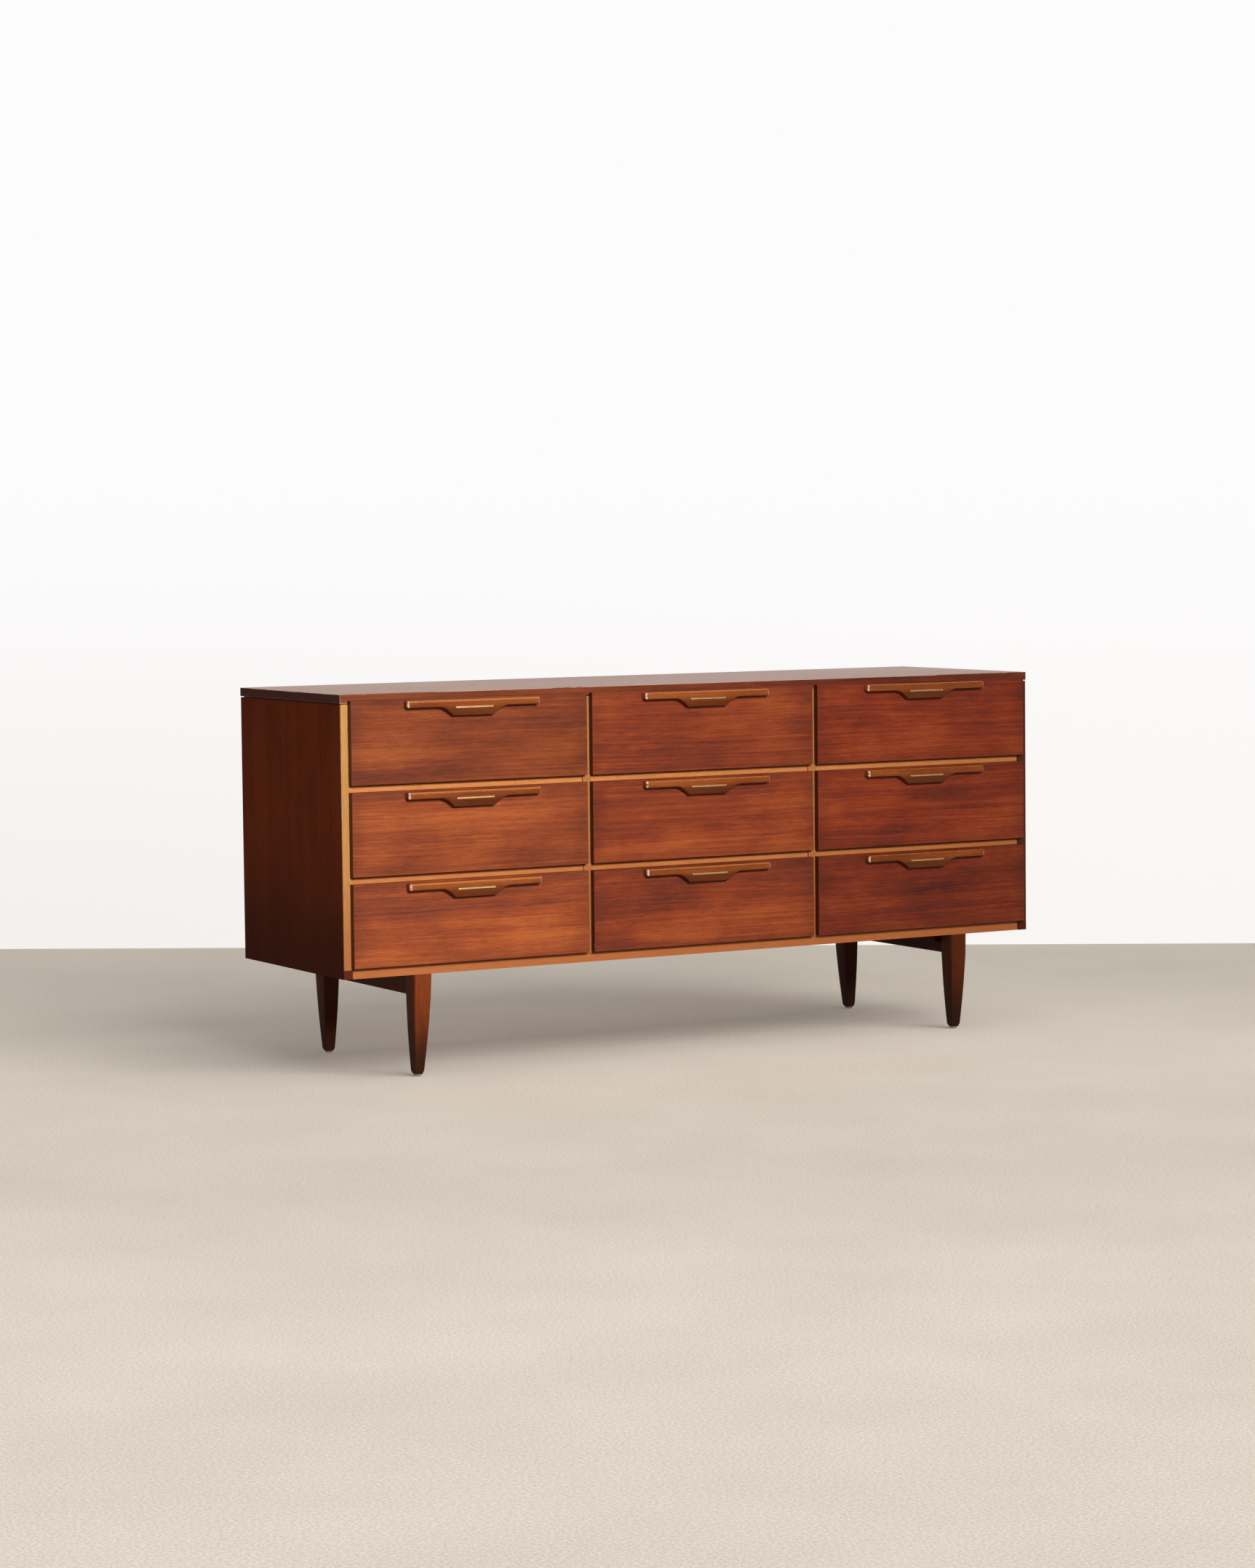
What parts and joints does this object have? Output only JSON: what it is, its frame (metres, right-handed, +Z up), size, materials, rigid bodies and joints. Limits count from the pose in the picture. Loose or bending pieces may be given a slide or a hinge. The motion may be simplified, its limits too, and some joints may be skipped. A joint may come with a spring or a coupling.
{
  "type": "dresser with drawers",
  "caption": "Long low wooden dresser: overlay drawers in a three-column case, each with a curved wooden pull and a metal inlay bar, on tapered leg frames.",
  "frame": {"origin": "middle of the floor rectangle that the whole piece covers, drawer pulls included", "axes": "+X to the right along the width seen from the front, -Y out of the drawer fronts, +Z up"},
  "size_m": [1.695, 0.5238, 0.792],
  "materials": {
    "case_veneer": "satin, figured reddish veneer, grain along the width",
    "side_veneer": "satin, dark reddish veneer, upright grain",
    "drawer_veneer": "satin, figured reddish veneer with dark streaks, grain along the width",
    "edge_wood": "satin, plain pale hardwood",
    "inner_wood": "thinly sealed secondary wood",
    "box_wood": "sealed pale drawer wood",
    "leg_wood": "satin, red-brown hardwood",
    "pull_wood": "satin, worn brown hardwood, lighter on the edges",
    "brass": "brushed, pale",
    "glide_steel": "pressed, bright",
    "screw_steel": "plain"
  },
  "bodies": {
    "case": {"top_panel": "case_veneer", "side_panel_left": "side_veneer", "side_panel_right": "side_veneer", "divider_left": "inner_wood", "divider_right": "inner_wood", "bottom_panel": "edge_wood", "back_panel": "inner_wood", "front_rails": "edge_wood", "rear_rails": "inner_wood", "drawer_runners": "inner_wood", "centre_guides": "inner_wood", "edge_lippings": "edge_wood", "corner_blocks": "side_veneer", "top_cleats": "inner_wood", "stretcher_left": "leg_wood", "stretcher_right": "leg_wood", "base_cleats": "leg_wood", "foot_glides": "glide_steel", "leg_screws": "screw_steel", "back_screws": "screw_steel", "leg_front_left": "leg_wood", "leg_front_right": "leg_wood", "leg_rear_left": "leg_wood", "leg_rear_right": "leg_wood"},
    "drawer_top_left": {"drawer_front_top_left": "drawer_veneer", "drawer_box_top_left": "box_wood", "drawer_pull_top_left": "pull_wood", "pull_inlay_top_left": "brass"},
    "drawer_top_centre": {"drawer_front_top_centre": "drawer_veneer", "drawer_box_top_centre": "box_wood", "drawer_pull_top_centre": "pull_wood", "pull_inlay_top_centre": "brass"},
    "drawer_top_right": {"drawer_front_top_right": "drawer_veneer", "drawer_box_top_right": "box_wood", "drawer_pull_top_right": "pull_wood", "pull_inlay_top_right": "brass"},
    "drawer_middle_left": {"drawer_front_middle_left": "drawer_veneer", "drawer_box_middle_left": "box_wood", "drawer_pull_middle_left": "pull_wood", "pull_inlay_middle_left": "brass"},
    "drawer_middle_centre": {"drawer_front_middle_centre": "drawer_veneer", "drawer_box_middle_centre": "box_wood", "drawer_pull_middle_centre": "pull_wood", "pull_inlay_middle_centre": "brass"},
    "drawer_middle_right": {"drawer_front_middle_right": "drawer_veneer", "drawer_box_middle_right": "box_wood", "drawer_pull_middle_right": "pull_wood", "pull_inlay_middle_right": "brass"},
    "drawer_bottom_left": {"drawer_front_bottom_left": "drawer_veneer", "drawer_box_bottom_left": "box_wood", "drawer_pull_bottom_left": "pull_wood", "pull_inlay_bottom_left": "brass"},
    "drawer_bottom_centre": {"drawer_front_bottom_centre": "drawer_veneer", "drawer_box_bottom_centre": "box_wood", "drawer_pull_bottom_centre": "pull_wood", "pull_inlay_bottom_centre": "brass"},
    "drawer_bottom_right": {"drawer_front_bottom_right": "drawer_veneer", "drawer_box_bottom_right": "box_wood", "drawer_pull_bottom_right": "pull_wood", "pull_inlay_bottom_right": "brass"}
  },
  "joints": [
    {"name": "slide_top_left", "type": "slide", "parent": "case", "child": "drawer_top_left", "axis": [0, -1, 0], "range_m": [0, 0.33]},
    {"name": "slide_top_centre", "type": "slide", "parent": "case", "child": "drawer_top_centre", "axis": [0, -1, 0], "range_m": [0, 0.33]},
    {"name": "slide_top_right", "type": "slide", "parent": "case", "child": "drawer_top_right", "axis": [0, -1, 0], "range_m": [0, 0.33]},
    {"name": "slide_middle_left", "type": "slide", "parent": "case", "child": "drawer_middle_left", "axis": [0, -1, 0], "range_m": [0, 0.33]},
    {"name": "slide_middle_centre", "type": "slide", "parent": "case", "child": "drawer_middle_centre", "axis": [0, -1, 0], "range_m": [0, 0.33]},
    {"name": "slide_middle_right", "type": "slide", "parent": "case", "child": "drawer_middle_right", "axis": [0, -1, 0], "range_m": [0, 0.33]},
    {"name": "slide_bottom_left", "type": "slide", "parent": "case", "child": "drawer_bottom_left", "axis": [0, -1, 0], "range_m": [0, 0.33]},
    {"name": "slide_bottom_centre", "type": "slide", "parent": "case", "child": "drawer_bottom_centre", "axis": [0, -1, 0], "range_m": [0, 0.33]},
    {"name": "slide_bottom_right", "type": "slide", "parent": "case", "child": "drawer_bottom_right", "axis": [0, -1, 0], "range_m": [0, 0.33]}
  ]
}
